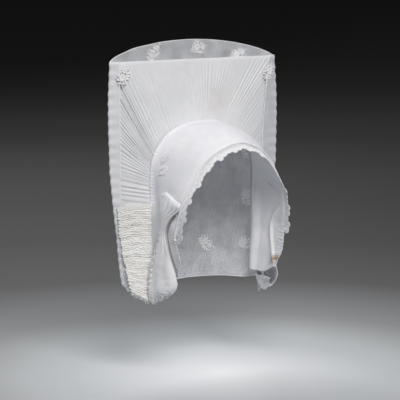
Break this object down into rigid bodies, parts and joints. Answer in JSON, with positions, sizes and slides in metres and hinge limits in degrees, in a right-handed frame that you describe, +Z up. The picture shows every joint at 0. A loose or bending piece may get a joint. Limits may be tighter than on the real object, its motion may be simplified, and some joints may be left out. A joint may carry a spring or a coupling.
{
  "type": "starched coiffe headdress",
  "caption": "Tall white starched headdress: smooth lace-edged hood, upright pleated fan panel with an arched tulle veil behind, crimped side bands and folded lappets.",
  "frame": {"origin": "inside the top of the hood, where it sits on the crown of the head", "axes": "+Z up, -Y out of the face opening, +X towards the wearer's left"},
  "size_m": [0.3352, 0.1792, 0.4194],
  "materials": {
    "starched_lawn": "smooth starched cotton lawn, white",
    "pleated_lawn": "finely pleated starched lawn, white, slightly sheer",
    "tulle": "fine see-through tulle, white, embroidered with sprigs",
    "cotton_lace": "openwork cotton lace, white",
    "crimped_cotton": "cotton in fine crimps, cream"
  },
  "bodies": {
    "root": {"hood": "starched_lawn", "lace_edging": "cotton_lace", "edge_piping": "starched_lawn", "fan_panel": "pleated_lawn", "back_veil": "tulle", "crimped_band_right": "crimped_cotton", "crimped_band_left": "crimped_cotton", "lappet_right": "starched_lawn", "lappet_left": "starched_lawn", "lappet_trim_right": "cotton_lace", "lappet_trim_left": "cotton_lace"}
  },
  "joints": []
}
